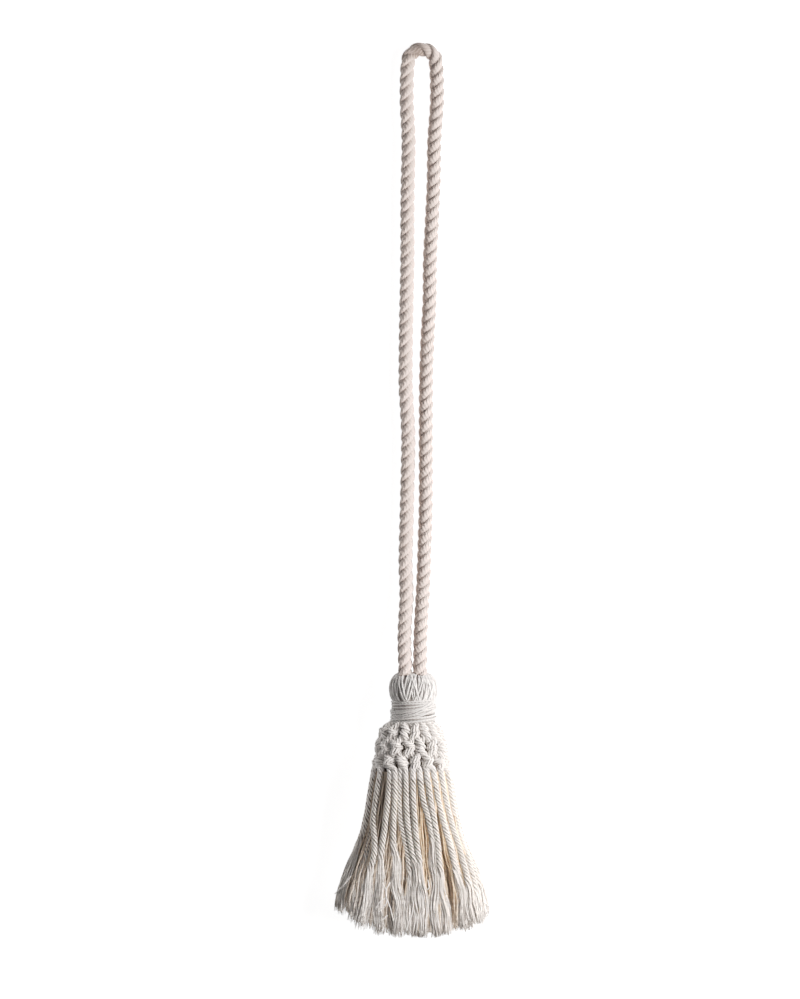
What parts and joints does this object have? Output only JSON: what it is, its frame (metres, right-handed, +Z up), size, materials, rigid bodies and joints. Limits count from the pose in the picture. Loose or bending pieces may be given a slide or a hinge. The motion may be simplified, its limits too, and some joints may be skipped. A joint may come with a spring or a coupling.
{
  "type": "curtain tieback tassel",
  "caption": "Curtain tieback tassel with a long twisted rope loop, whipped neck, knotted cord collar and frayed cord fringe, lying on its back.",
  "frame": {"origin": "on the surface, under the middle of the tassel's outline without its rope loop", "axes": "+Y from the hem up to the head and along the rope, +X to the right as seen from above with the loop at the top, +Z up from the surface that the tassel lies on"},
  "size_m": [0.098, 0.5971, 0.0399],
  "materials": {
    "rope_cotton": "matt three-strand cotton rope, pinkish cream",
    "whipping_cord": "matt plied cotton cord, light grey white",
    "bundle_yarn": "matt loose cotton yarn, off-white",
    "collar_cord": "matt twisted cotton cord, off-white, frayed at the hem"
  },
  "bodies": {
    "root": {"rope_loop": "rope_cotton", "neck_whipping": "whipping_cord", "yarn_bundle": "bundle_yarn", "knotted_collar": "collar_cord"}
  },
  "joints": []
}
